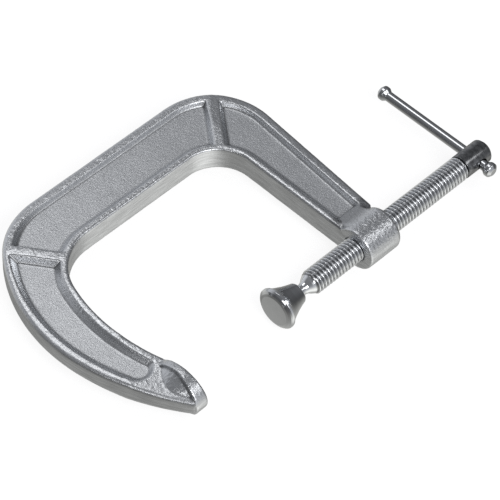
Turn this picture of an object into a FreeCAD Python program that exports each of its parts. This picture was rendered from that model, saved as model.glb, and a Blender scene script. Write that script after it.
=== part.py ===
"""A deep-throat forged C clamp, in millimetres.

Frame: the origin is the centre of the fixed anvil's face, on the screw's axis.
+Y runs along the screw from the anvil to the tommy bar, the spine is at -X, and
+Z is square to the plane of the C. The screw stands part way along its travel.
"""
import FreeCAD
import Part
import math
import os

V = FreeCAD.Vector
Y_AXIS = V(0, 1, 0)

# The forged C
THROAT = 115.3             # screw axis to the spine's inner wall
SPINE_OUTER_X = -157.8     # outer wall of the spine
ARM_INNER_Y = 144.0        # throat side of the upper arm
FRAME_THICK = 17.7         # over the rims on the throat side
ARM_SLOPE_DEG = 4.86       # fall of the upper arm's outer edge towards the boss
CORNER_R = 44.5            # upper outer corner
CORNER_Y = 137.4
HEEL_R = 52.2              # lower outer corner
THROAT_R = 25.0            # upper corner of the throat
THROAT_LOW_R = 36.0        # lower corner of the throat
ARM_OUTER = (-67.2, 75.8, 115.8)       # x, y and radius of the lower arm's outer sweep
ARM_THROAT = (-55.7, 110.3, 117.1)     # the same on the throat side
TIP_FROM_X = -48.0         # from here the outer sweep is flatter
TIP_R = 160.0
OUTER_ROUND = 2.6          # rounding of the outer rim
INNER_ROUND = 1.6          # rounding of the throat rim

# The faces lean in towards the outer rim: slope, and where the lean starts
LEAN = 0.072
LEAN_SPINE_X = -130.0
LEAN_TOP_Y = 150.0
LEAN_ARM_Y = -4.0
LEAN_TIP_X = -52.0
LEAN_TIP = 0.048

# Recessed web panels
WEB_HALF = 4.0             # half thickness of the web
PANEL_TOP = 10.0           # height at which the panel walls are drawn
SPINE_FOOT = (8.3, 8.1)    # outer and throat-side rim width at the web
SPINE_LIP = (5.0, 3.2)     # the same at PANEL_TOP
ARM_FOOT = (8.3, 8.0)
ARM_LIP = (1.6, 3.4)
UPPER_PANEL_END = -17.0
LOWER_PANEL_END = -20.0
PANEL_END_BULGE = 5.0
RIB_UPPER = (-126.5, 152.3, 142.0)     # a point on the rib's middle and its direction
RIB_LOWER = (-124.5, -1.0, 36.0)
RIB_TOP_WIDE = 5.5
RIB_FOOT_WIDE = 11.5

# The threaded boss
BOSS_R = 14.6
BOSS_FRONT_Y = 143.9
BOSS_REAR_Y = 171.0
BOSS_FRONT_ROUND = 1.0
BOSS_REAR_ROUND = 2.6
BORE_R = 8.25              # a plain bore that clears the screw's thread
ARM_TOP_END_X = -14.6      # where the upper arm's outer edge meets the boss
SADDLE_START_X = -20.0     # where the arm starts to swell into the boss
SADDLE_REAR_Y = 168.5
SADDLE_CHAMFER = 2.0

# The anvil
ANVIL_X = 1.6              # middle of the oval
ANVIL_LONG = 19.3          # half length along X
ANVIL_WIDE = 13.7          # half width along Z
ANVIL_THICK = 5.4          # on the throat side; the back slants away to ANVIL_NOSE
ANVIL_NOSE = 9.6
ANVIL_ROUND = 1.0
ARM_TIP_X = 19.3           # where the arm's outer sweep ends under the anvil
ARM_TIP_IN_X = -17.0

# The screw
SCREW_R = 8.0
PITCH = 2.65
THREAD_DEPTH = 1.3
CREST_FLAT = 0.5
ROOT_FLAT = 0.5
BLOCK_TURNS = 3            # the thread is drawn in blocks of whole turns
SCREW_BLOCKS = 17
FLANK_STEPS = 8
THREAD_END_Y = 240.0
THREAD_START_Y = THREAD_END_Y - SCREW_BLOCKS * BLOCK_TURNS * PITCH
HEAD_R = 8.15
HEAD_CHAMFER = 1.6
SCREW_END_Y = 262.0
NECK_R = 3.6
NECK_END_Y = 99.0
FLARE = ((101.0, 4.3), (103.2, 5.9))   # y and radius up the neck's flare
BALL_R = 5.6
BALL_Y = 87.0

# The tommy bar
BAR_Y = 252.2
BAR_R = 3.35
BAR_HOLE_R = 4.0
BAR_LEFT_X = -78.5
BAR_RIGHT_X = 17.0
KNOB_R = 4.85
KNOB_LONG = 6.8
KNOB_OUTER_ROUND = 2.6
KNOB_INNER_ROUND = 2.6

# The swivel pad
PAD_FACE_Y = 74.8
PAD_OUTSIDE = (            # y and radius from the rim to the rear
    (75.3, 11.6), (76.2, 13.0), (77.2, 13.9), (78.6, 13.9), (79.6, 13.0), (81.2, 12.0),
    (83.2, 11.0), (87.6, 9.1), (92.0, 7.6), (94.6, 6.9), (95.6, 6.0))
PAD_FACE_R = 10.2
PAD_REAR_Y = 95.6
SOCKET_GAP = 0.35
RING_CHAMBER_R = 6.9
CHAMBER_Y = (88.2, 91.2)   # the groove behind the ball that holds the snap ring
PAD_MOUTH_R = 5.1

# The snap ring behind the ball
RING_MID_R = 5.75
RING_WIRE_R = 0.55
RING_Y = BALL_Y + 2.7


def nested_circle(big, radius, x):
    """The circle of a radius centred at x that touches a bigger circle (x, y, radius) inside."""
    reach = math.sqrt((big[2] - radius) ** 2 - (x - big[0]) ** 2)
    return (x, big[1] - reach, radius)


OUTER_CORNER = (SPINE_OUTER_X + CORNER_R, CORNER_Y, CORNER_R)
HEEL = nested_circle(ARM_OUTER, HEEL_R, SPINE_OUTER_X + HEEL_R)
THROAT_UPPER = (-THROAT + THROAT_R, ARM_INNER_Y - THROAT_R, THROAT_R)
THROAT_LOWER = nested_circle(ARM_THROAT, THROAT_LOW_R, -THROAT + THROAT_LOW_R)
TIP_ANGLE = -math.degrees(math.acos((TIP_FROM_X - ARM_OUTER[0]) / ARM_OUTER[2])) + 360
TIP_OUTER = (ARM_OUTER[0] + (ARM_OUTER[2] - TIP_R) * math.cos(math.radians(TIP_ANGLE)),
             ARM_OUTER[1] + (ARM_OUTER[2] - TIP_R) * math.sin(math.radians(TIP_ANGLE)), TIP_R)


def on_arc(circle, extra, degrees):
    """A point at an angle on a circle (x, y, radius) grown by extra."""
    angle = math.radians(degrees)
    radius = circle[2] + extra
    return V(circle[0] + radius * math.cos(angle), circle[1] + radius * math.sin(angle), 0)


def arc_edge(circle, extra, start, end):
    middle = (start + end) / 2
    return Part.Arc(on_arc(circle, extra, start), on_arc(circle, extra, middle),
                    on_arc(circle, extra, end)).toShape()


def line_edge(a, b):
    return Part.LineSegment(a, b).toShape()


def heading(a, b):
    """Angle in degrees from circle a's centre to circle b's, between 0 and 360."""
    return math.degrees(math.atan2(b[1] - a[1], b[0] - a[0])) % 360


def angle_at_x(circle, extra, x):
    """Angle, on the lower half of a circle, at which it reaches x."""
    return 360 - math.degrees(math.acos((x - circle[0]) / (circle[2] + extra)))


def c_wire(outer, inner, z, top_x, tip_x, bulge):
    """The C's outline with its outer edge moved in by outer and its throat edge by inner.

    top_x and tip_x give where its two ends are, each as (outer edge, throat edge).
    """
    blend = heading(ARM_OUTER, HEEL)
    throat_blend = heading(ARM_THROAT, THROAT_LOWER)
    corner_start = 90 - ARM_SLOPE_DEG
    corner = on_arc(OUTER_CORNER, -outer, corner_start)
    top = V(top_x[0], corner.y - (top_x[0] - corner.x) * math.tan(math.radians(ARM_SLOPE_DEG)), 0)
    tip_out = on_arc(TIP_OUTER, -outer, angle_at_x(TIP_OUTER, -outer, tip_x[0]))
    tip_in = on_arc(ARM_THROAT, inner, angle_at_x(ARM_THROAT, inner, tip_x[1]))
    under = V(top_x[1], ARM_INNER_Y + inner, 0)
    tip_mid = (tip_out + tip_in) * 0.5 + V(bulge, 0, 0)
    top_mid = (top + under) * 0.5 + V(bulge * 0.7, 0, 0)
    edges = [
        line_edge(top, corner),
        arc_edge(OUTER_CORNER, -outer, corner_start, 180),
        line_edge(on_arc(OUTER_CORNER, -outer, 180), on_arc(HEEL, -outer, 180)),
        arc_edge(HEEL, -outer, 180, blend),
        arc_edge(ARM_OUTER, -outer, blend, TIP_ANGLE),
        arc_edge(TIP_OUTER, -outer, TIP_ANGLE, angle_at_x(TIP_OUTER, -outer, tip_x[0])),
        Part.Arc(tip_out, tip_mid, tip_in).toShape(),
        arc_edge(ARM_THROAT, inner, angle_at_x(ARM_THROAT, inner, tip_x[1]), throat_blend),
        arc_edge(THROAT_LOWER, inner, throat_blend, 180),
        line_edge(on_arc(THROAT_LOWER, inner, 180), on_arc(THROAT_UPPER, inner, 180)),
        arc_edge(THROAT_UPPER, inner, 180, 90),
        line_edge(on_arc(THROAT_UPPER, inner, 90), under),
        Part.Arc(under, top_mid, top).toShape(),
    ]
    wire = Part.Wire(edges)
    wire.translate(V(0, 0, z))
    return wire


def prism(points, direction):
    return Part.Face(Part.makePolygon(points + points[:1])).extrude(direction)


def lean_cuts():
    """Wedges that thin the upper half of the frame towards its outer rim and its tip."""
    half = FRAME_THICK / 2
    far = 80.0
    high = 20.0
    return [
        prism([V(LEAN_SPINE_X, -100, half), V(LEAN_SPINE_X - far, -100, half - far * LEAN),
               V(LEAN_SPINE_X - far, -100, high), V(LEAN_SPINE_X, -100, high)], V(0, 400, 0)),
        prism([V(-300, LEAN_TOP_Y, half), V(-300, LEAN_TOP_Y + far, half - far * LEAN),
               V(-300, LEAN_TOP_Y + far, high), V(-300, LEAN_TOP_Y, high)], V(400, 0, 0)),
        prism([V(-300, LEAN_ARM_Y, half), V(-300, LEAN_ARM_Y - far, half - far * LEAN),
               V(-300, LEAN_ARM_Y - far, high), V(-300, LEAN_ARM_Y, high)], V(400, 0, 0)),
        prism([V(LEAN_TIP_X, -100, half), V(LEAN_TIP_X + far, -100, half - far * LEAN_TIP),
               V(LEAN_TIP_X + far, -100, high), V(LEAN_TIP_X, -100, high)], V(0, 160, 0)),
    ]


def beyond(circle, point, slack):
    """True where a point is no more than slack inside a circle (x, y, radius)."""
    return math.hypot(point.x - circle[0], point.y - circle[1]) > circle[2] - slack


def rim_edges(solid):
    """Upper edges of the half blank: those of the outer rim, and those round the throat."""
    outer = []
    inner = []
    for edge in solid.Edges:
        first, last = edge.ParameterRange
        p = edge.valueAt((first + last) / 2)
        if p.z < 5:
            continue
        if p.x < SPINE_OUTER_X + 1.5 or p.y > ARM_INNER_Y + 25:
            outer.append(edge)
        elif p.y > OUTER_CORNER[1] and p.x < OUTER_CORNER[0] and beyond(OUTER_CORNER, p, 1.5):
            outer.append(edge)
        elif p.y < HEEL[1] and p.x < HEEL[0] and beyond(HEEL, p, 1.5):
            outer.append(edge)
        elif p.y < 60 and beyond(ARM_OUTER, p, 1.5):
            outer.append(edge)
        elif p.x > -THROAT - 1 and p.y < ARM_INNER_Y + 1 and not beyond(ARM_THROAT, p, -1):
            inner.append(edge)
    return outer, inner


def half_blank():
    """The upper half of the C before its panels, with rounded rims."""
    outline = c_wire(0, 0, 0, (ARM_TOP_END_X, 0), (ARM_TIP_X, ARM_TIP_IN_X), 5.0)
    blank = Part.Face(outline).extrude(V(0, 0, FRAME_THICK / 2))
    for cut in lean_cuts():
        blank = blank.cut(cut)
    blank = blank.Solids[0]
    blank = blank.makeFillet(OUTER_ROUND, rim_edges(blank)[0])
    return blank.makeFillet(INNER_ROUND, rim_edges(blank)[1])


def rib(place):
    """A bar with sloping sides that crosses the web at a corner."""
    foot = RIB_FOOT_WIDE / 2
    lip = RIB_TOP_WIDE / 2
    profile = [V(-60, -foot - 0.6, WEB_HALF - 1), V(-60, foot + 0.6, WEB_HALF - 1),
               V(-60, lip, PANEL_TOP), V(-60, -lip, PANEL_TOP)]
    bar = prism(profile, V(120, 0, 0))
    bar.rotate(V(0, 0, 0), V(0, 0, 1), place[2])
    bar.translate(V(place[0], place[1], 0))
    return bar


def recess(foot, lip, foot_ends, lip_ends, foot_bulge, lip_bulge):
    """A panel's hollow: a loft from the web's outline up to the wider one at PANEL_TOP."""
    low = c_wire(foot[0], foot[1], WEB_HALF, *foot_ends, foot_bulge)
    high = c_wire(lip[0], lip[1], PANEL_TOP, *lip_ends, lip_bulge)
    return Part.makeLoft([low, high], True, True)


def panels():
    """The three recesses of the upper face."""
    top_end = (UPPER_PANEL_END, UPPER_PANEL_END)
    top_lip = (UPPER_PANEL_END + 3, UPPER_PANEL_END + 3)
    tip_end = (LOWER_PANEL_END, LOWER_PANEL_END)
    tip_lip = (LOWER_PANEL_END + 3, LOWER_PANEL_END + 3)
    spine = recess(SPINE_FOOT, SPINE_LIP, (top_end, tip_end), (top_lip, tip_end), 5.0, 5.0)
    arm = recess(ARM_FOOT, ARM_LIP, (top_end, tip_end), (top_end, tip_lip),
                 PANEL_END_BULGE, PANEL_END_BULGE + 2)
    below = Part.makeBox(500, 200, 40, V(-250, -200, -5))
    below.rotate(V(0, 0, 0), V(0, 0, 1), RIB_LOWER[2])
    below.translate(V(RIB_LOWER[0], RIB_LOWER[1], 0))
    below = below.common(Part.makeBox(400, 100, 40, V(-300, -70, -5)))
    spine = spine.cut(below).cut(rib(RIB_UPPER)).cut(rib(RIB_LOWER))
    arm = arm.common(below).cut(rib(RIB_LOWER))
    return spine.Solids + arm.Solids


def thread_section():
    """Cross-section of the threaded rod, square to its axis."""
    root = SCREW_R - THREAD_DEPTH
    root_deg = 180 * ROOT_FLAT / PITCH
    crest_deg = 180 * CREST_FLAT / PITCH
    flanks = []
    for start, end, first, last in ((root_deg, 180 - crest_deg, root, SCREW_R),
                                    (180 + crest_deg, 360 - root_deg, SCREW_R, root)):
        points = []
        for step in range(FLANK_STEPS + 1):
            share = step / FLANK_STEPS
            circle = (0, 0, first + (last - first) * share)
            points.append(on_arc(circle, 0, start + (end - start) * share))
        curve = Part.BSplineCurve()
        curve.interpolate(points)
        flanks.append(curve.toShape())
    floor = arc_edge((0, 0, root), 0, -root_deg, root_deg)
    crest = arc_edge((0, 0, SCREW_R), 0, 180 - crest_deg, 180 + crest_deg)
    return Part.Wire([floor, flanks[0], crest, flanks[1]])


def thread_block(length):
    """A short threaded rod of whole turns that starts at y = 0."""
    spine = Part.Wire(line_edge(V(0, 0, 0), V(0, 0, length)))
    guide = Part.Wire(Part.makeHelix(PITCH, length, SCREW_R))
    sweep = Part.BRepOffsetAPI.MakePipeShell(spine)
    sweep.setAuxiliarySpine(guide, True, 0)
    sweep.add(thread_section(), False, False)
    sweep.build()
    sweep.makeSolid()
    block = sweep.shape()
    block.rotate(V(0, 0, 0), V(1, 0, 0), -90)
    return block


def threaded_rod():
    """The right-handed threaded rod: equal blocks joined, without the flats between them."""
    length = BLOCK_TURNS * PITCH
    faces = []
    for index in range(SCREW_BLOCKS):
        block = thread_block(length)
        block.translate(V(0, THREAD_START_Y + index * length, 0))
        for face in block.Faces:
            flat = face.BoundBox.YLength < 0.01
            at_an_end = (abs(face.BoundBox.YMin - THREAD_START_Y) < 0.01
                         or abs(face.BoundBox.YMax - THREAD_END_Y) < 0.01)
            if at_an_end or not flat:
                faces.append(face)
    shell = Part.Shell(faces)
    shell.sewShape()
    rod = Part.Solid(shell)
    if rod.Volume < 0:
        rod.reverse()
    return rod


def cylinder_y(radius, y_from, y_to):
    return Part.makeCylinder(radius, y_to - y_from, V(0, y_from, 0), Y_AXIS)


def revolve_y(points):
    """A solid turned about the Y axis from (radius, y) corners."""
    wire = Part.makePolygon([V(r, y, 0) for r, y in points + points[:1]])
    return Part.Face(wire).revolve(V(0, 0, 0), Y_AXIS, 360)


def rounded_end(barrel, y, radius):
    """A barrel on the Y axis with the edge at height y rounded."""
    edges = [e for e in barrel.Edges if e.Curve.TypeId == "Part::GeomCircle"
             and abs(e.CenterOfMass.y - y) < 0.01]
    return barrel.makeFillet(radius, edges)


def boss():
    """The boss and the saddle that joins it to the upper arm."""
    barrel = cylinder_y(BOSS_R, BOSS_FRONT_Y, BOSS_REAR_Y)
    barrel = rounded_end(barrel, BOSS_FRONT_Y, BOSS_FRONT_ROUND)
    barrel = rounded_end(barrel, BOSS_REAR_Y, BOSS_REAR_ROUND)
    front = ARM_INNER_Y + 1.8
    near_x = -4.0
    low = 6.5
    high = math.sqrt(BOSS_R ** 2 - near_x ** 2)
    outline = [(SADDLE_START_X, -low), (near_x, -high), (0, -high),
               (0, high), (near_x, high), (SADDLE_START_X, low)]
    saddle = prism([V(x, front, z) for x, z in outline], V(0, SADDLE_REAR_Y - front, 0))
    shoulders = [e for e in saddle.Edges if abs(e.CenterOfMass.z) > 9 and e.CenterOfMass.x < -5]
    return barrel.fuse(saddle.makeChamfer(SADDLE_CHAMFER, shoulders))


def ellipse_wire(long, wide, y, x):
    curve = Part.Ellipse(V(x, y, 0), long, wide).toShape()
    curve.rotate(V(x, y, 0), V(1, 0, 0), 90)
    return Part.Wire(curve)


def anvil():
    """The oval anvil, whose back slants, and the neck that swells into it."""
    oval = Part.Face(ellipse_wire(ANVIL_LONG, ANVIL_WIDE, -ANVIL_NOSE, ANVIL_X))
    pad = oval.extrude(V(0, ANVIL_NOSE, 0))
    nose_x = ANVIL_X + ANVIL_LONG
    slant = prism([V(-30, -ANVIL_THICK, -20), V(0, -ANVIL_THICK, -20), V(nose_x, -ANVIL_NOSE, -20),
                   V(nose_x, -20, -20), V(-30, -20, -20)], V(0, 0, 40))
    pad = pad.cut(slant)
    rim = [e for e in pad.Edges if e.Length > 50 or e.CenterOfMass.y < -ANVIL_THICK + 0.5]
    pad = pad.makeFillet(ANVIL_ROUND, [e for e in rim if e.Length > 50])
    swell = Part.makeLoft([ellipse_wire(ANVIL_LONG - 2.0, ANVIL_WIDE - 1.5, -ANVIL_THICK + 0.5, ANVIL_X),
                           ellipse_wire(ANVIL_LONG - 4.8, 8.6, -ANVIL_THICK - 5.0, ANVIL_X),
                           ellipse_wire(8.0, 6.0, -15.0, 0.0)], True, False)
    return pad.fuse(swell)


def c_frame():
    half = half_blank()
    for panel in panels():
        half = half.cut(panel)
    frame = half.fuse(half.mirror(V(0, 0, 0), V(0, 0, 1))).removeSplitter()
    frame = frame.fuse(boss())
    frame = frame.cut(cylinder_y(BORE_R, BOSS_FRONT_Y - 5, BOSS_REAR_Y + 5))
    return frame.fuse(anvil())


def screw_spindle():
    core = SCREW_R - THREAD_DEPTH - 0.1
    flare = [(radius, y) for y, radius in FLARE]
    tip = revolve_y([(0, BALL_Y), (NECK_R, BALL_Y), (NECK_R, NECK_END_Y)] + flare
                    + [(core, THREAD_START_Y), (0, THREAD_START_Y)])
    head = revolve_y([
        (0, THREAD_END_Y), (HEAD_R, THREAD_END_Y), (HEAD_R, SCREW_END_Y - HEAD_CHAMFER),
        (HEAD_R - HEAD_CHAMFER, SCREW_END_Y), (0, SCREW_END_Y)])
    head = head.cut(Part.makeCylinder(BAR_HOLE_R, 40, V(-20, BAR_Y, 0), V(1, 0, 0)))
    ball = Part.makeSphere(BALL_R, V(0, BALL_Y, 0))
    return threaded_rod().fuse(head).fuse(tip.fuse(ball))


def round_of(body, x, radius):
    """A knob with the round edge at x filleted."""
    edges = [e for e in body.Edges if e.Length > 20 and abs(e.CenterOfMass.x - x) < 0.1]
    return body.makeFillet(radius, edges)


def knob(x, side):
    """An upset head on the bar: a rounded button whose flat end is at x."""
    body = Part.makeCylinder(KNOB_R, KNOB_LONG, V(x, BAR_Y, 0), V(-side, 0, 0))
    body = round_of(body, x, KNOB_OUTER_ROUND)
    return round_of(body, x - side * KNOB_LONG, KNOB_INNER_ROUND)


def tommy_bar():
    start = V(BAR_LEFT_X + KNOB_LONG / 2, BAR_Y, 0)
    rod = Part.makeCylinder(BAR_R, BAR_RIGHT_X - BAR_LEFT_X - KNOB_LONG, start, V(1, 0, 0))
    return rod.fuse(knob(BAR_LEFT_X, -1)).fuse(knob(BAR_RIGHT_X, 1)).removeSplitter()


def swivel_pad():
    side = [(radius, y) for y, radius in PAD_OUTSIDE]
    outside = revolve_y([(0, PAD_FACE_Y), (PAD_FACE_R, PAD_FACE_Y)] + side + [(0, PAD_REAR_Y)])
    socket_r = BALL_R + SOCKET_GAP
    pad = outside.cut(Part.makeSphere(socket_r, V(0, BALL_Y, 0)))
    pad = pad.cut(cylinder_y(socket_r, BALL_Y, CHAMBER_Y[0]))
    pad = pad.cut(cylinder_y(RING_CHAMBER_R, CHAMBER_Y[0], CHAMBER_Y[1]))
    return pad.cut(cylinder_y(PAD_MOUTH_R, CHAMBER_Y[1], PAD_REAR_Y + 1)).removeSplitter()


def pad_snap_ring():
    return Part.makeTorus(RING_MID_R, RING_WIRE_R, V(0, RING_Y, 0), Y_AXIS)


def main():
    os.makedirs("parts", exist_ok=True)
    nodes = {
        "c_frame": c_frame(),
        "screw_spindle": screw_spindle(),
        "tommy_bar": tommy_bar(),
        "swivel_pad": swivel_pad(),
        "pad_snap_ring": pad_snap_ring(),
    }
    for name, shape in nodes.items():
        shape.exportStep("parts/" + name + ".step")
        box = shape.BoundBox
        print(name, shape.ShapeType, len(shape.Solids), shape.isValid(), round(shape.Volume),
              [round(v, 2) for v in (box.XMin, box.YMin, box.ZMin, box.XMax, box.YMax, box.ZMax)])


main()
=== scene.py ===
import math

import bmesh
import bpy
import numpy as np
from mathutils import Matrix, Vector, noise

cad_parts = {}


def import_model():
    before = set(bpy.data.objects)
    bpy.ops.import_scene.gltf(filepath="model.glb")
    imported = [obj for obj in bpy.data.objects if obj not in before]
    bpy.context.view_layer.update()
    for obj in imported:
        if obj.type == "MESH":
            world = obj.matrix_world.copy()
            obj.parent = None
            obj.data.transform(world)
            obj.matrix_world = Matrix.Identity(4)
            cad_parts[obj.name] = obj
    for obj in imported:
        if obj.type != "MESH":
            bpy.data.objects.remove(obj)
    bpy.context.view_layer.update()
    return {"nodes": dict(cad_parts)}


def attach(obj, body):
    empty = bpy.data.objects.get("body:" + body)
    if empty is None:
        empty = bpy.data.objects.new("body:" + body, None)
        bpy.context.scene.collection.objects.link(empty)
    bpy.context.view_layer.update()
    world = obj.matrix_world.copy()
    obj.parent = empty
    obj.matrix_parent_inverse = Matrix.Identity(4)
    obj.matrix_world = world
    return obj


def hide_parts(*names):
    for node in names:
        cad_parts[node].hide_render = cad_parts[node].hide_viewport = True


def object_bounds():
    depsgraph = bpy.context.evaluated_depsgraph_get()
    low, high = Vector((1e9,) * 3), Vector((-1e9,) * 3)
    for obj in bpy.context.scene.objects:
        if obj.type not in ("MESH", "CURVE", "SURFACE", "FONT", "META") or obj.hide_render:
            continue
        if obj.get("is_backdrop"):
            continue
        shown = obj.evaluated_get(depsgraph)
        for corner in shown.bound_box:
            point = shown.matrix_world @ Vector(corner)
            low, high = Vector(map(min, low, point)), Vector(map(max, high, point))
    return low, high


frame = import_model()

MM = 0.001

# The axis of the screw runs along +Y through the origin. Lengths below are in millimetres.
PITCH = 2.65
THREAD_END_Y = 240.0
THREAD_START_Y = 104.85
CREST_R = 8.0
ROOT_R = 6.7
HEAD_R = 8.15
SCREW_END_Y = 262.0
NECK_R = 3.6
NECK_END_Y = 99.0
BALL_R = 5.6
BALL_Y = 87.0
BAR_Y = 252.2
BAR_R = 3.35
BAR_HOLE_R = 4.0
BAR_LEFT_X = -78.5
BAR_RIGHT_X = 17.0
KNOB_R = 4.85
KNOB_LONG = 6.8
PAD_FACE_Y = 74.8
PAD_FACE_R = 10.2
PAD_REAR_Y = 95.6
PAD_OUTSIDE = (            # y and radius from the rim to the rear
    (75.3, 11.6), (76.2, 13.0), (77.2, 13.9), (78.6, 13.9), (79.6, 13.0), (81.2, 12.0),
    (83.2, 11.0), (87.6, 9.1), (92.0, 7.6), (94.6, 6.9), (95.6, 6.0))
CHAMBER_Y = (88.2, 91.2)
CHAMBER_R = 6.9
PAD_MOUTH_R = 5.1
SOCKET_R = BALL_R + 0.35
BORE_R = 8.3
BOSS_FRONT_Y = 143.9
BOSS_REAR_Y = 171.0

SHOULDER_Y = 103.2         # where the neck's flare meets the thread's end
HOLE_SIDES = 64            # turned by half a side, so that no edge meets one of the spindle's
FRAME_VOXEL = 0.6
FRAME_INSET = 0.07         # keeps the hammered skin inside the CAD surface
MAX_TRIANGLES = 195000
TURNED_SIDES = 96
ROWS_PER_TURN = 12         # rings of points in one pitch of the thread
PLATE_TINT = (0.97, 0.99, 1.02)
# how dark the head is painted: painted shade for the dark surroundings it reflects
HEAD_SHADE_TONE = 0.24
TURNING_MARKS = 0.003      # depth

# Places below are in metres.
CAMERA_AT = (0.66361, -0.68191, 1.24945)
CAMERA_RIGHT = (0.71094624, 0.70230177, 0.03643704)
CAMERA_UP = (-0.5545243, 0.52797765, 0.64322811)
CAMERA_FORWARD = (-0.4325023, 0.47750583, -0.76480713)
LENS_MM = 195.574824
SENSOR_MM = 36.0
LIT_POINT = (-0.05, 0.11, 0)
LIGHT_DISTANCE = 1.5
FLOOR_HALF = 6.0
FLOOR_GAP = 0.0002


# ---------------------------------------------------------------- mesh helpers

def new_object(name, mesh):
    obj = bpy.data.objects.new(name, mesh)
    bpy.context.scene.collection.objects.link(obj)
    return obj


def mesh_from(name, points_mm, faces):
    mesh = bpy.data.meshes.new(name)
    mesh.from_pydata([tuple(p) for p in np.asarray(points_mm) * MM], [], faces)
    mesh.validate()
    mesh.update()
    return mesh


def applied(obj):
    """obj's mesh with its modifiers applied; the modifiers are removed."""
    graph = bpy.context.evaluated_depsgraph_get()
    mesh = bpy.data.meshes.new_from_object(obj.evaluated_get(graph), depsgraph=graph)
    obj.modifiers.clear()
    obj.data = mesh
    return mesh


def smooth_shading(obj, angle_deg=None):
    mesh = obj.data
    mesh.polygons.foreach_set("use_smooth", [True] * len(mesh.polygons))
    if angle_deg is not None:
        mesh.set_sharp_from_angle(angle=math.radians(angle_deg))
    mesh.update()


def rounded_profile(corners, steps=5):
    """The profile through (along, radius, round) corners, each rounded by its own radius."""
    points = []
    for k, (a, r, rnd) in enumerate(corners):
        here = np.array([a, r], float)
        if rnd <= 0 or k == 0 or k == len(corners) - 1:
            points.append(here)
            continue
        back = np.array(corners[k - 1][:2], float) - here
        ahead = np.array(corners[k + 1][:2], float) - here
        back_len = np.linalg.norm(back)
        ahead_len = np.linalg.norm(ahead)
        back /= back_len
        ahead /= ahead_len
        half = math.acos(max(-1.0, min(1.0, float(back @ ahead)))) / 2
        reach = min(rnd / math.tan(half), 0.49 * back_len, 0.49 * ahead_len)
        start = here + back * reach
        end = here + ahead * reach
        for s in range(steps + 1):
            t = s / steps
            points.append((1 - t) ** 2 * start + 2 * t * (1 - t) * here + t * t * end)
    return points


def lathe(name, profile, axis="Y", offset=(0, 0, 0), segments=TURNED_SIDES):
    """A closed turned body; the profile is (along, radius) points from one end of the axis on."""
    rings = []
    points = []
    for a, r in profile:
        if r < 1e-4:
            rings.append([len(points)])
            points.append((a, 0.0, 0.0))
            continue
        ring = []
        for k in range(segments):
            t = 2 * math.pi * k / segments
            ring.append(len(points))
            points.append((a, r * math.cos(t), r * math.sin(t)))
        rings.append(ring)
    faces = []
    for low, high in zip(rings, rings[1:]):
        for k in range(segments):
            n = (k + 1) % segments
            if len(low) == 1 and len(high) == 1:
                continue
            if len(low) == 1:
                faces.append((low[0], high[n], high[k]))
            elif len(high) == 1:
                faces.append((low[k], low[n], high[0]))
            else:
                faces.append((low[k], low[n], high[n], high[k]))
    pts = np.array(points)
    if axis == "Y":
        pts = np.stack([pts[:, 2], pts[:, 0], pts[:, 1]], 1)
    pts = pts + np.array(offset)
    return new_object(name, mesh_from(name, pts, faces))


def outward(obj):
    """Joins doubled points and turns every face outwards."""
    bm = bmesh.new()
    bm.from_mesh(obj.data)
    bmesh.ops.remove_doubles(bm, verts=bm.verts, dist=0.004 * MM)
    bmesh.ops.recalc_face_normals(bm, faces=bm.faces)
    bm.to_mesh(obj.data)
    bm.free()


def cut(obj, tool):
    hole = obj.modifiers.new("cut", "BOOLEAN")
    hole.operation = "DIFFERENCE"
    hole.object = tool
    hole.solver = "EXACT"
    applied(obj)
    bpy.data.objects.remove(tool)


# ---------------------------------------------------------------- the forged frame

def vertex_arrays(mesh):
    co = np.zeros(len(mesh.vertices) * 3, np.float32)
    no = np.zeros(len(mesh.vertices) * 3, np.float32)
    mesh.vertices.foreach_get("co", co)
    mesh.vertices.foreach_get("normal", no)
    return co.reshape(-1, 3).astype(float) / MM, no.reshape(-1, 3).astype(float)


def smoothstep(low, high, x):
    t = np.clip((x - low) / (high - low), 0, 1)
    return t * t * (3 - 2 * t)


def noise_field(points_mm, scale_mm, shift):
    move = Vector(shift)
    return np.array([noise.noise(Vector(p) / scale_mm + move) for p in points_mm])


def hammer(obj):
    """Long soft lumps all over and fine dents on the rims, all sunk below the smooth surface."""
    points, normals = vertex_arrays(obj.data)
    from_axis = np.hypot(points[:, 0], points[:, 2])
    near_bore = 1 - smoothstep(9.0, 10.5, from_axis)
    near_bore *= smoothstep(100, 130, points[:, 1])
    flat = smoothstep(0.25, 0.6, np.abs(normals[:, 2]))
    height = smoothstep(4.8, 7.6, np.abs(points[:, 2]))
    lumps = noise_field(points, 9.0, (3.1, 0.4, 7.7))
    dents = noise_field(points, 2.0, (11.3, 5.2, 0.9))
    amount = 0.05 * lumps
    amount += dents * (0.01 + 0.015 * flat + 0.08 * flat * height)
    amount *= 1 - near_bore
    amount -= FRAME_INSET
    moved = points + normals * np.minimum(amount, 0.0)[:, None]
    obj.data.vertices.foreach_set("co", (moved * MM).astype(np.float32).ravel())
    obj.data.update()


def forged_frame():
    """The frame's CAD solid, remeshed finely, softened, bored again and hammered."""
    obj = new_object("clamp_frame", frame["nodes"]["c_frame"].data.copy())
    remesh = obj.modifiers.new("remesh", "REMESH")
    remesh.mode = "VOXEL"
    remesh.voxel_size = FRAME_VOXEL * MM
    relax = obj.modifiers.new("relax", "SMOOTH")
    relax.factor = 0.5
    relax.iterations = 8
    applied(obj)

    front = BOSS_FRONT_Y - 8
    rear = BOSS_REAR_Y + 8
    bore = lathe("bore", [(front, 0), (front, BORE_R), (rear, BORE_R), (rear, 0)], segments=72)
    outward(bore)
    cut(obj, bore)

    hammer(obj)

    triangles = sum(len(p.vertices) - 2 for p in obj.data.polygons)
    if triangles > MAX_TRIANGLES:
        thin = obj.modifiers.new("thin", "DECIMATE")
        thin.ratio = MAX_TRIANGLES / triangles
        applied(obj)
    smooth_shading(obj, 60)
    return obj


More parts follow.
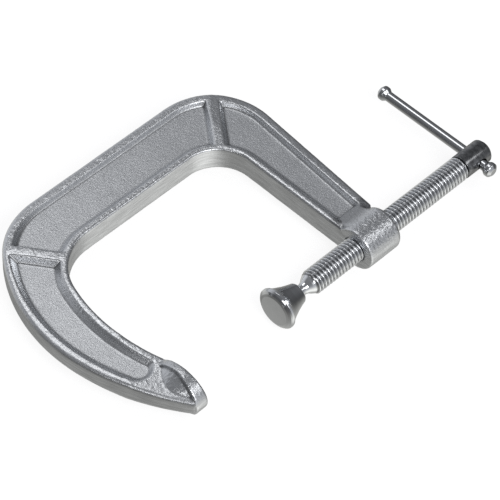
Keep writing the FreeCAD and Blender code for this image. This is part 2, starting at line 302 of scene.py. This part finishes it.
# ---------------------------------------------------------------- the spindle

def thread_radius(along, angle):
    """A rolled thread with rounded crest and root, in step with the CAD thread."""
    phase = (along / PITCH - angle / (2 * math.pi)) % 1.0
    distance = np.minimum(phase, 1 - phase)
    lift = 1 - smoothstep(0.10, 0.42, distance)
    return CREST_R - (CREST_R - ROOT_R) * (1 - lift)


def spindle_tip():
    """The ball, the neck and its flare up to the thread's root."""
    angles = np.linspace(0.0, math.pi - math.asin(NECK_R / BALL_R), 12)
    ball = [(BALL_Y - BALL_R * math.cos(t), BALL_R * math.sin(t), 0) for t in angles]
    return rounded_profile(ball + [
        (NECK_END_Y, NECK_R, 1.8), (101.0, 4.2, 1.2), (SHOULDER_Y, 5.7, 1.0),
        (THREAD_START_Y - 0.2, 6.5, 0.6), (THREAD_START_Y + 0.2, ROOT_R, 0)])


def spindle_head():
    """The smooth head from the thread's end to the rounded far end."""
    return rounded_profile([
        (THREAD_END_Y - 0.1, ROOT_R + 0.2, 0), (THREAD_END_Y, HEAD_R - 0.1, 0.3),
        (SCREW_END_Y - 1.7, HEAD_R - 0.05, 1.2), (SCREW_END_Y, HEAD_R - 1.9, 0.8), (SCREW_END_Y, 0, 0)])


def spindle():
    """Rings of points stacked along the axis; in the thread each ring is one turn of a helix."""
    step = PITCH / ROWS_PER_TURN
    angles = np.arange(TURNED_SIDES) * 2 * math.pi / TURNED_SIDES
    points = []
    rings = []

    def add_ring(ys, rs):
        first = len(points)
        for t, y, r in zip(angles, ys, rs):
            points.append((r * math.sin(t), y, r * math.cos(t)))
        rings.append(list(range(first, first + TURNED_SIDES)))

    def add_flat_rings(profile):
        for y, r in profile:
            add_ring(np.full(TURNED_SIDES, y), np.full(TURNED_SIDES, max(r, 0.02)))

    add_flat_rings(spindle_tip())
    thread_from = len(rings)
    first_row = int(math.floor(THREAD_START_Y / step)) - ROWS_PER_TURN
    last_row = int(math.ceil(THREAD_END_Y / step)) + 2
    for row in range(first_row, last_row):
        ys = (row + angles / (2 * math.pi) * ROWS_PER_TURN) * step
        ys = np.clip(ys, THREAD_START_Y + 0.2, THREAD_END_Y - 0.1)
        run_in = smoothstep(THREAD_START_Y, THREAD_START_Y + 2.2, ys)
        run_out = 1 - smoothstep(THREAD_END_Y - 1.6, THREAD_END_Y, ys)
        height = thread_radius(ys, angles) - ROOT_R
        add_ring(ys, ROOT_R + height * run_in * (0.25 + 0.75 * run_out))
    thread_to = len(rings) - 1
    add_flat_rings(spindle_head())

    faces = [tuple(rings[0]), tuple(rings[-1])]
    for i in range(len(rings) - 1):
        low = rings[i]
        high = rings[i + 1]
        for k in range(TURNED_SIDES - 1):
            faces.append((low[k], low[k + 1], high[k + 1], high[k]))
        in_thread = thread_from <= i < thread_to
        low_next = rings[min(i + ROWS_PER_TURN, thread_to)][0] if in_thread else low[0]
        high_next = rings[min(i + 1 + ROWS_PER_TURN, thread_to)][0] if in_thread else high[0]
        faces.append((low[-1], low_next, high_next, high[-1]))

    obj = new_object("spindle", mesh_from("spindle", points, faces))
    outward(obj)
    hole = lathe("hole", [(-20, 0), (-20, BAR_HOLE_R), (20, BAR_HOLE_R), (20, 0)], axis="X",
                 segments=HOLE_SIDES)
    half_side = Matrix.Rotation(math.pi / HOLE_SIDES, 4, "X")
    hole.data.transform(Matrix.Translation((0, BAR_Y * MM, 0)) @ half_side)
    outward(hole)
    cut(obj, hole)
    smooth_shading(obj, 50)
    return obj


# ---------------------------------------------------------------- bar and pad

def knob_profile(end_x, inward):
    """From the knob's end at end_x to the rod; inward is the way to the rod along X."""
    steps = ((0, 0, 0), (0, KNOB_R - 2.2, 0.8), (1.7, KNOB_R, 1.7),
             (KNOB_LONG - 2.4, KNOB_R, 1.9), (KNOB_LONG - 0.2, BAR_R, 0.8))
    return [(end_x + inward * along, radius, rounding) for along, radius, rounding in steps]


def tommy_bar():
    left = knob_profile(BAR_LEFT_X, 1)
    right = knob_profile(BAR_RIGHT_X, -1)
    profile = rounded_profile(left + right[::-1], 6)
    obj = lathe("tommy_bar_rod", profile, axis="X", offset=(0, BAR_Y, 0))
    outward(obj)
    smooth_shading(obj, 40)
    return obj


def swivel_pad():
    """The flared pad with its ball socket and the chamber for the snap ring."""
    side = [(y, radius, 0.5) for y, radius in PAD_OUTSIDE]
    inside = [
        (PAD_REAR_Y, PAD_MOUTH_R, 0.2), (CHAMBER_Y[1], PAD_MOUTH_R, 0), (CHAMBER_Y[1], CHAMBER_R, 0),
        (CHAMBER_Y[0], CHAMBER_R, 0), (CHAMBER_Y[0], SOCKET_R, 0), (BALL_Y, SOCKET_R, 0)]
    profile = rounded_profile([(PAD_FACE_Y, 0, 0), (PAD_FACE_Y, PAD_FACE_R, 0.6)] + side + inside, 4)
    for k in range(1, 9):
        t = k * math.pi / 16
        profile.append((BALL_Y - SOCKET_R * math.sin(t), SOCKET_R * math.cos(t)))
    profile[-1] = (BALL_Y - SOCKET_R, 0.0)
    obj = lathe("pad_body", profile)
    outward(obj)
    smooth_shading(obj, 40)
    return obj


# ---------------------------------------------------------------- materials

class Graph:
    """A short way to lay down shader nodes."""

    def __init__(self, tree):
        self.tree = tree
        tree.nodes.clear()

    def node(self, kind, inputs=None, **settings):
        made = self.tree.nodes.new(kind)
        for key, value in settings.items():
            setattr(made, key, value)
        for key, value in (inputs or {}).items():
            if isinstance(value, bpy.types.NodeSocket):
                self.tree.links.new(value, made.inputs[key])
            else:
                made.inputs[key].default_value = value
        return made

    def math(self, operation, a, b=0.0):
        return self.node("ShaderNodeMath", {0: a, 1: b}, operation=operation).outputs[0]

    def add(self, a, b):
        return self.math("ADD", a, b)

    def minus(self, a, b):
        return self.math("SUBTRACT", a, b)

    def times(self, a, b):
        return self.math("MULTIPLY", a, b)

    def split(self, vector):
        return self.node("ShaderNodeSeparateXYZ", {0: vector}).outputs

    def stretch(self, vector, factors):
        return self.node("ShaderNodeVectorMath", {0: vector, 1: factors}, operation="MULTIPLY").outputs[0]

    def noise(self, vector, scale, detail=2.0, rough=0.5):
        return self.node("ShaderNodeTexNoise", {"Vector": vector, "Scale": scale, "Detail": detail,
                                                "Roughness": rough}).outputs[0]

    def ramp(self, value, low, high, out_low=0.0, out_high=1.0):
        return self.node("ShaderNodeMapRange", {0: value, 1: low, 2: high, 3: out_low, 4: out_high},
                         interpolation_type="SMOOTHSTEP").outputs[0]

    def mix(self, factor, a, b):
        made = self.node("ShaderNodeMix", {0: factor, 6: a, 7: b}, data_type="RGBA")
        return made.outputs[2]

    def bump(self, height, distance_mm):
        return self.node("ShaderNodeBump", {"Height": height, "Distance": distance_mm * MM,
                                            "Strength": 1.0}).outputs[0]

    def zinc(self, tone):
        """The slightly blue grey of zinc plate, as bright as tone."""
        parts = {channel: self.times(tone, tint) for channel, tint in enumerate(PLATE_TINT)}
        return self.node("ShaderNodeCombineColor", parts).outputs[0]


def start_material(name):
    material = bpy.data.materials.new(name)
    material.use_nodes = True
    g = Graph(material.node_tree)
    position = g.node("ShaderNodeTexCoord").outputs["Object"]
    mm = g.node("ShaderNodeVectorMath", {0: position, "Scale": 1 / MM}, operation="SCALE").outputs[0]
    return material, g, mm


def finish_material(g, tone, roughness, normal):
    shader = g.node("ShaderNodeBsdfPrincipled", {"Base Color": g.zinc(tone), "Roughness": roughness,
                                                 "Normal": normal, "Metallic": 1.0})
    g.node("ShaderNodeOutputMaterial", {"Surface": shader.outputs[0]})


def forging_material():
    """Zinc plate over a forging: grainy webs, bright rough rims and boss, striped walls, painted shade in
    the concave lines and on the saddle's flat top.
    """
    material, g, mm = start_material("plated_forging")
    shape = g.node("ShaderNodeNewGeometry").outputs
    x, y, z = g.split(mm)
    flat = g.ramp(g.math("ABSOLUTE", g.split(shape["Normal"])[2]), 0.3, 0.55)
    side = g.minus(1.0, flat)
    rim = g.times(flat, g.ramp(g.math("ABSOLUTE", z), 5.0, 7.8))
    by_boss = g.ramp(y, 138.0, 144.0)
    boss = g.times(g.ramp(x, -20.0, -8.0), by_boss)
    # painted shade: the saddle's flat top is darkened, standing in for the dark surroundings it reflects
    saddle_shade = g.times(g.times(g.ramp(x, -24.0, -19.0), g.ramp(x, -6.0, -14.0)), by_boss)
    # painted shade: the feet of walls and other concave lines are darkened, found by the mesh's
    # pointiness
    crease_shade = g.ramp(shape["Pointiness"], 0.500, 0.465)
    grain = g.noise(mm, 0.9, 2.0, 0.6)
    speckle = g.noise(mm, 0.6, 2.0, 0.6)
    cloud = g.noise(mm, 0.06, 2.0, 0.5)
    stripes = g.noise(g.stretch(mm, (0.10, 0.10, 1.1)), 0.8, 3.0, 0.6)

    tone = g.add(g.add(g.times(grain, 0.12), g.times(cloud, 0.10)), 0.58)
    # painted shade on the saddle's flat top
    tone = g.times(tone, g.minus(1.0, g.times(g.times(saddle_shade, flat), 0.45)))
    tone = g.add(tone, g.times(g.minus(stripes, 0.5), g.times(side, 0.6)))
    # painted shade in the concave lines
    tone = g.times(tone, g.minus(1.0, g.times(crease_shade, 0.62)))

    roughness = g.add(g.times(grain, 0.10), 0.33)
    roughness = g.minus(roughness, g.times(rim, 0.08))

    web_part = g.times(grain, g.add(g.times(flat, 0.10), 0.02))
    rim_part = g.times(g.times(speckle, rim), 0.20)
    wall_part = g.times(g.times(stripes, side), 0.12)
    boss_part = g.times(g.times(speckle, boss), 0.16)
    height = g.add(g.add(web_part, rim_part), g.add(wall_part, boss_part))
    finish_material(g, tone, roughness, g.bump(height, 1.0))
    return material


def spindle_tone(g, mm, tone):
    """Paints shade into the thread's grooves, and darkens the head with blotches as painted shade for the
    dark surroundings it reflects; the neck stays as bright as it is.
    """
    x, y, z = g.split(mm)
    radius = g.math("SQRT", g.add(g.times(x, x), g.times(z, z)))
    # painted shade: the thread's roots are darkened, as where shade falls between the crests
    groove_shade = g.ramp(radius, ROOT_R + 0.1, CREST_R - 0.3, 0.30, 1.05)
    past_neck = g.ramp(y, THREAD_START_Y - 0.5, THREAD_START_Y + 0.5)
    tone = g.times(tone, g.add(g.times(past_neck, g.minus(groove_shade, 1.0)), 1.0))
    # painted shade: the head is darkened, with random blotches, standing in for the dark surroundings it
    # reflects
    head_shade = g.ramp(g.noise(mm, 0.35, 3.0, 0.6), 0.35, 0.65, HEAD_SHADE_TONE * 0.7, HEAD_SHADE_TONE * 1.3)
    on_head = g.ramp(y, THREAD_END_Y - 0.4, THREAD_END_Y)
    return g.times(tone, g.add(g.times(on_head, g.minus(head_shade, 1.0)), 1.0))


def turned_material(name, base, rough, streak=0.1, along="Y", threaded=False):
    """Plate over a turned surface: faint lines round the axis, and soft clouds."""
    material, g, mm = start_material(name)
    squeeze = {"X": (6.0, 0.15, 0.15), "Y": (0.15, 6.0, 0.15)}[along]
    lines = g.noise(g.stretch(mm, squeeze), 0.8, 3.0, 0.6)
    cloud = g.noise(mm, 0.25, 3.0, 0.55)
    fine = g.noise(mm, 2.2, 2.0, 0.5)
    tone = g.add(g.times(cloud, 0.10), base - 0.05)
    tone = g.add(tone, g.times(g.minus(lines, 0.5), 0.05))
    if threaded:
        tone = spindle_tone(g, mm, tone)
        rough = g.ramp(g.split(mm)[1], THREAD_START_Y - 2, THREAD_START_Y + 2, rough * 0.5, rough)
    roughness = g.add(g.times(g.minus(cloud, 0.5), 0.16), rough)
    roughness = g.add(roughness, g.times(g.minus(lines, 0.5), streak))
    height = g.add(g.times(lines, 0.6), g.times(fine, 0.4))
    finish_material(g, tone, roughness, g.bump(height, TURNING_MARKS))
    return material


def dress(obj, material):
    obj.data.materials.clear()
    obj.data.materials.append(material)
    obj.data.polygons.foreach_set("material_index", [0] * len(obj.data.polygons))


# ---------------------------------------------------------------- studio

def camera():
    data = bpy.data.cameras.new("camera")
    data.sensor_width = SENSOR_MM
    data.lens = LENS_MM
    data.clip_start = 0.05
    data.clip_end = 20
    obj = bpy.data.objects.new("camera", data)
    bpy.context.scene.collection.objects.link(obj)
    place = Matrix((CAMERA_RIGHT, CAMERA_UP, -Vector(CAMERA_FORWARD))).transposed().to_4x4()
    place.translation = Vector(CAMERA_AT)
    obj.matrix_world = place
    bpy.context.scene.camera = obj


def softbox(name, toward, size, power):
    """A square light that stands in the given direction and faces the object."""
    data = bpy.data.lights.new(name, "AREA")
    data.shape = "RECTANGLE"
    data.size = size
    data.size_y = size
    data.energy = power
    obj = bpy.data.objects.new(name, data)
    bpy.context.scene.collection.objects.link(obj)
    direction = Vector(toward).normalized()
    obj.location = Vector(LIT_POINT) + direction * LIGHT_DISTANCE
    obj.rotation_euler = (-direction).to_track_quat("-Z", "Y").to_euler()


def world():
    """A studio for metal: bright low down and to the right, dim in front, behind and overhead."""
    made = bpy.data.worlds.new("studio")
    bpy.context.scene.world = made
    made.use_nodes = True
    g = Graph(made.node_tree)
    x, y, z = g.split(g.node("ShaderNodeTexCoord").outputs["Generated"])
    low = g.times(g.ramp(z, -0.9, 0.0, 0.44, 0.07), g.ramp(y, -0.2, -0.7, 1.0, 0.68))
    low = g.times(low, g.ramp(x, -0.42, -0.7, 1.0, 0.45))
    high = g.ramp(z, -0.05, 0.9, 0.06, 0.16)
    right = g.times(g.ramp(x, 0.3, 0.85), g.ramp(g.math("ABSOLUTE", y), 0.4, 0.8, 1.0, 0.05))
    right = g.times(right, g.ramp(z, -0.9, 0.6, 0.95, 0.25))
    left = g.times(g.ramp(x, -0.5, -0.95, 0.0, 0.55), g.ramp(z, -0.8, -0.45))
    back = g.times(g.ramp(y, 0.5, 0.95), g.ramp(x, 0.5, -0.3, 0.04, 0.03))
    level = g.add(g.add(low, high), g.add(right, left))
    level = g.math("MAXIMUM", g.minus(level, back), 0.025)
    colour = g.mix(g.ramp(z, -0.4, 0.2), (1.0, 0.995, 0.95, 1), (0.97, 0.99, 1.03, 1))
    surface = g.node("ShaderNodeBackground", {"Color": colour, "Strength": level})
    g.node("ShaderNodeOutputWorld", {"Surface": surface.outputs[0]})


def floor():
    """A pale sheet that glows a little and keeps a soft shadow."""
    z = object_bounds()[0][2] - FLOOR_GAP
    corners = [(x * FLOOR_HALF, y * FLOOR_HALF, z) for x, y in ((-1, -1), (1, -1), (1, 1), (-1, 1))]
    mesh = bpy.data.meshes.new("floor")
    mesh.from_pydata(corners, [], [(0, 1, 2, 3)])
    obj = new_object("floor", mesh)
    material = bpy.data.materials.new("floor")
    material.use_nodes = True
    g = Graph(material.node_tree)
    diffuse = g.node("ShaderNodeBsdfDiffuse", {"Color": (0.30, 0.30, 0.30, 1)})
    glow = g.node("ShaderNodeEmission", {"Color": (1, 1, 1, 1), "Strength": 0.85})
    both = g.node("ShaderNodeAddShader", {0: diffuse.outputs[0], 1: glow.outputs[0]})
    g.node("ShaderNodeOutputMaterial", {"Surface": both.outputs[0]})
    obj.data.materials.append(material)
    obj.visible_glossy = False
    obj.visible_diffuse = False
    obj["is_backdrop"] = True


camera()
world()
floor()
softbox("right_softbox", (0.70, -0.19, 0.68), 0.7, 7)
softbox("top_softbox", (-0.42, 0.12, 0.89), 0.6, 2.1)
softbox("front_softbox", (0.25, -0.86, 0.47), 0.45, 1.6)
softbox("boss_softbox", (0.50, 0.45, 0.74), 0.4, 1.4)

clamp_frame = forged_frame()
dress(clamp_frame, forging_material())
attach(clamp_frame, "frame")
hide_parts("c_frame")

screw = spindle()
dress(screw, turned_material("plated_thread", 0.80, 0.22, 0.08, threaded=True))
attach(screw, "spindle")
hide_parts("screw_spindle")

bar = tommy_bar()
dress(bar, turned_material("polished_bar", 0.62, 0.11, 0.05, along="X"))
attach(bar, "bar")
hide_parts("tommy_bar")

pad = swivel_pad()
dress(pad, turned_material("polished_pad", 0.68, 0.11, 0.05))
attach(pad, "pad")
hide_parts("swivel_pad")

ring_wire = turned_material("spring_wire", 0.45, 0.3)
for slot in frame["nodes"]["pad_snap_ring"].material_slots:
    slot.material = ring_wire

bpy.context.scene.view_settings.view_transform = "Standard"
bpy.context.scene.cycles.use_denoising = False
